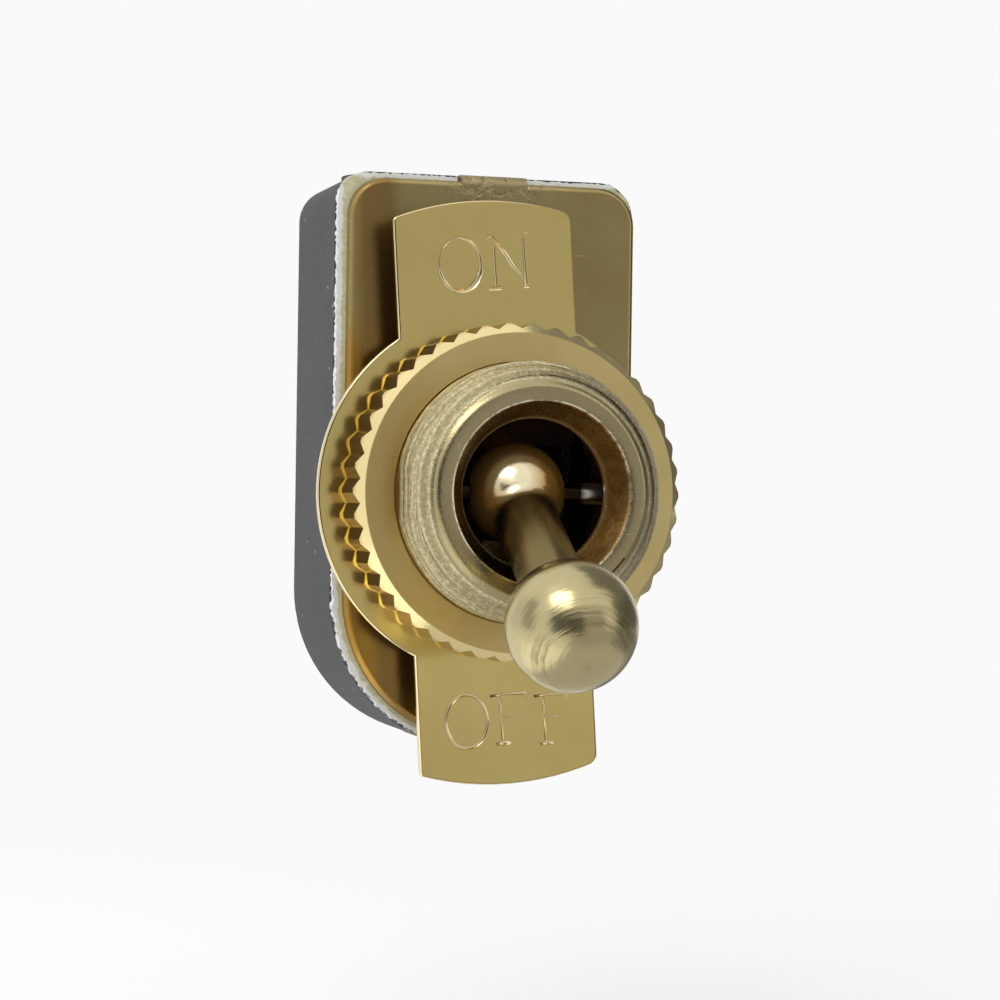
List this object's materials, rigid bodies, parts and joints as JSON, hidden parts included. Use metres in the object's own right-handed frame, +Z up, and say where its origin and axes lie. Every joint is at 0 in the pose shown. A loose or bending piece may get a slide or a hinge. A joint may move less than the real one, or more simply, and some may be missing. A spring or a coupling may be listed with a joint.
{
  "type": "panel toggle switch",
  "caption": "Panel toggle switch: moulded case, threaded brass bushing, hex and knurled nuts, ON-OFF plate and a ball lever that moves a sliding contact bridge.",
  "frame": {"origin": "on the bushing's axis at the front face of the cover plate", "axes": "+Z up along the case towards ON, -Y out of the panel along the bushing, +X to the right of someone facing the lever"},
  "size_m": [0.017, 0.0269, 0.0288],
  "materials": {
    "case_moulding": "dark grey phenolic moulding, dull, with fine pale specks",
    "fibre": "pale grey-green fish paper with a fuzzy cut edge",
    "cover_brass": "tarnished brass-plated steel, brown-gold, scratched",
    "bushing_brass": "dull grey-gold brass, rough cut thread",
    "jam_nut_brass": "brown-gold brass",
    "plate_brass": "satin brass, bright edges",
    "ring_nut_brass": "brass with faint turned lines",
    "lever_brass": "satin pale brass, worn at the ball",
    "pin_steel": "drawn steel",
    "carrier_moulding": "brown phenolic moulding",
    "strip_brass": "rolled brass strip",
    "contact_silver": "silver contact face, slightly tarnished",
    "spring_steel": "drawn spring wire",
    "rivet_brass": "headed brass rivet"
  },
  "bodies": {
    "housing": {"case": "case_moulding", "fibre_gasket": "fibre", "cover_plate": "cover_brass", "bushing": "bushing_brass", "jam_nut": "jam_nut_brass", "indicator_plate": "plate_brass", "ring_nut": "ring_nut_brass", "pivot_pin": "pin_steel", "terminal_left": "strip_brass", "terminal_right": "strip_brass", "fixed_contact_left": "contact_silver", "fixed_contact_right": "contact_silver", "terminal_rivet_left": "rivet_brass", "terminal_rivet_right": "rivet_brass"},
    "lever": {"lever": "lever_brass"},
    "carrier": {"contact_carrier": "carrier_moulding", "bridge_contact": "strip_brass", "bridge_button_left": "contact_silver", "bridge_button_right": "contact_silver", "contact_spring_left": "spring_steel", "contact_spring_right": "spring_steel"}
  },
  "joints": [
    {"name": "lever_swing", "type": "hinge", "parent": "housing", "child": "lever", "pos_m": [0, -0.0055, 0], "axis": [-1, 0, 0], "range_deg": [0, 66]},
    {"name": "carrier_slide", "type": "slide", "parent": "housing", "child": "carrier", "axis": [0, 0, -1], "range_m": [0, 0.0098]}
  ],
  "couplings": [
    {"joint": "lever_swing", "follows": "carrier_slide", "rad_per_m": 117.5}
  ]
}
